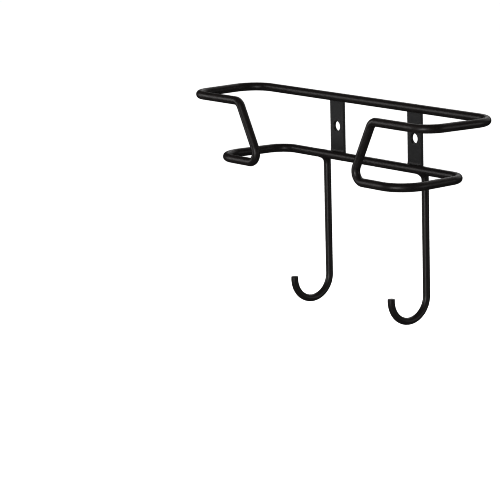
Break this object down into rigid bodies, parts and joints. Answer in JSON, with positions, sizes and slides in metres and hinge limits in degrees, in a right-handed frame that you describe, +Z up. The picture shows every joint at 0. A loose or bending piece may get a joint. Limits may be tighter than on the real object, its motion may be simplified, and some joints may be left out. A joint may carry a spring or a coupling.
{
  "type": "hair dryer holder",
  "caption": "Wall-hung hair dryer holder of black coated wire: a cradle open at the front, held by flat screw straps, with J hooks below for the cord.",
  "frame": {"origin": "on the wall, midway between the two screw holes", "axes": "+Z up, +X to the right as seen facing the wall, +Y into the wall; the holder stands out towards -Y"},
  "size_m": [0.2258, 0.0583, 0.1288],
  "materials": {
    "wire_coat": "satin black powder coat with a fine texture",
    "strap_coat": "satin black powder coat with a fine texture",
    "weld_coat": "black powder coat over a smooth weld"
  },
  "bodies": {
    "root": {"frame_wire": "wire_coat", "strap_left": "strap_coat", "hook_left": "wire_coat", "weld_strap_upper_left": "weld_coat", "weld_strap_lower_left": "weld_coat", "weld_hook_left": "weld_coat", "strap_right": "strap_coat", "hook_right": "wire_coat", "weld_strap_upper_right": "weld_coat", "weld_strap_lower_right": "weld_coat", "weld_hook_right": "weld_coat"}
  },
  "joints": []
}
